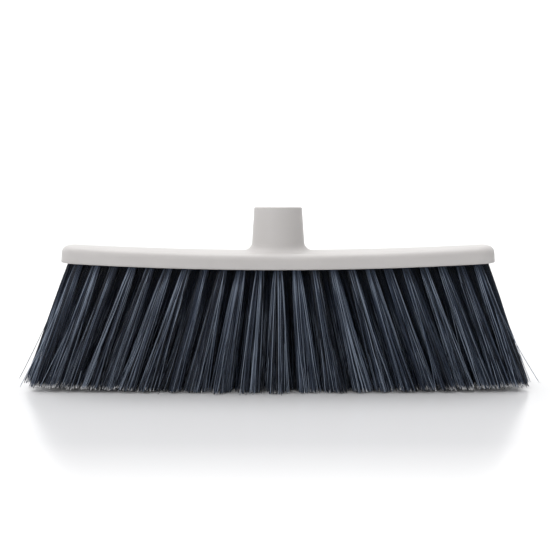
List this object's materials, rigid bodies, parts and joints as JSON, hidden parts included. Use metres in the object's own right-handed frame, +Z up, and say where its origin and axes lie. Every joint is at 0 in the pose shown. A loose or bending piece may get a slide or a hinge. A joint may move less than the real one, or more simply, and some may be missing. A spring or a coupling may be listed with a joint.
{
  "type": "broom head",
  "caption": "Indoor broom head: a long, gently curved plastic block with a round threaded handle socket and a fan of dark bristle tufts.",
  "frame": {"origin": "on the floor, under the middle of the handle socket", "axes": "+X along the block, +Y to the back of the broom head, +Z up along the handle socket"},
  "size_m": [0.3462, 0.0758, 0.1235],
  "materials": {
    "block_plastic": "satin moulded polypropylene, pale warm grey",
    "anchor_wire": "galvanised flat wire",
    "bristle": "extruded polyester filament, very dark navy, satin"
  },
  "bodies": {
    "block": {"broom_block": "block_plastic", "front_row_anchors": "anchor_wire", "front_inner_row_anchors": "anchor_wire", "middle_row_anchors": "anchor_wire", "rear_inner_row_anchors": "anchor_wire", "rear_row_anchors": "anchor_wire"},
    "front_row_bristles": {"front_row_left_end_tufts": "bristle", "front_row_left_tufts": "bristle", "front_row_centre_tufts": "bristle", "front_row_right_tufts": "bristle", "front_row_right_end_tufts": "bristle"},
    "front_inner_row_bristles": {"front_inner_row_left_end_tufts": "bristle", "front_inner_row_left_tufts": "bristle", "front_inner_row_centre_tufts": "bristle", "front_inner_row_right_tufts": "bristle", "front_inner_row_right_end_tufts": "bristle"},
    "middle_row_bristles": {"middle_row_left_end_tufts": "bristle", "middle_row_left_tufts": "bristle", "middle_row_centre_tufts": "bristle", "middle_row_right_tufts": "bristle", "middle_row_right_end_tufts": "bristle"},
    "rear_inner_row_bristles": {"rear_inner_row_left_end_tufts": "bristle", "rear_inner_row_left_tufts": "bristle", "rear_inner_row_centre_tufts": "bristle", "rear_inner_row_right_tufts": "bristle", "rear_inner_row_right_end_tufts": "bristle"},
    "rear_row_bristles": {"rear_row_left_end_tufts": "bristle", "rear_row_left_tufts": "bristle", "rear_row_centre_tufts": "bristle", "rear_row_right_tufts": "bristle", "rear_row_right_end_tufts": "bristle"}
  },
  "joints": [
    {"name": "front_row_flex", "type": "hinge", "parent": "block", "child": "front_row_bristles", "pos_m": [0, -0.0204, 0.0815], "axis": [1, 0, 0], "range_deg": [-20, 20], "stiffness_Nm_per_rad": 0.6, "deforming": ["front_row_left_end_tufts", "front_row_left_tufts", "front_row_centre_tufts", "front_row_right_tufts", "front_row_right_end_tufts"]},
    {"name": "front_inner_row_flex", "type": "hinge", "parent": "block", "child": "front_inner_row_bristles", "pos_m": [0, -0.0102, 0.0815], "axis": [1, 0, 0], "range_deg": [-20, 20], "stiffness_Nm_per_rad": 0.6, "deforming": ["front_inner_row_left_end_tufts", "front_inner_row_left_tufts", "front_inner_row_centre_tufts", "front_inner_row_right_tufts", "front_inner_row_right_end_tufts"]},
    {"name": "middle_row_flex", "type": "hinge", "parent": "block", "child": "middle_row_bristles", "pos_m": [0, 0, 0.0815], "axis": [1, 0, 0], "range_deg": [-20, 20], "stiffness_Nm_per_rad": 0.6, "deforming": ["middle_row_left_end_tufts", "middle_row_left_tufts", "middle_row_centre_tufts", "middle_row_right_tufts", "middle_row_right_end_tufts"]},
    {"name": "rear_inner_row_flex", "type": "hinge", "parent": "block", "child": "rear_inner_row_bristles", "pos_m": [0, 0.0102, 0.0815], "axis": [1, 0, 0], "range_deg": [-20, 20], "stiffness_Nm_per_rad": 0.6, "deforming": ["rear_inner_row_left_end_tufts", "rear_inner_row_left_tufts", "rear_inner_row_centre_tufts", "rear_inner_row_right_tufts", "rear_inner_row_right_end_tufts"]},
    {"name": "rear_row_flex", "type": "hinge", "parent": "block", "child": "rear_row_bristles", "pos_m": [0, 0.0204, 0.0815], "axis": [1, 0, 0], "range_deg": [-20, 20], "stiffness_Nm_per_rad": 0.6, "deforming": ["rear_row_left_end_tufts", "rear_row_left_tufts", "rear_row_centre_tufts", "rear_row_right_tufts", "rear_row_right_end_tufts"]}
  ],
  "couplings": [
    {"joint": "front_row_flex", "follows": "middle_row_flex", "ratio": 1},
    {"joint": "front_inner_row_flex", "follows": "middle_row_flex", "ratio": 1},
    {"joint": "rear_inner_row_flex", "follows": "middle_row_flex", "ratio": 1},
    {"joint": "rear_row_flex", "follows": "middle_row_flex", "ratio": 1}
  ]
}
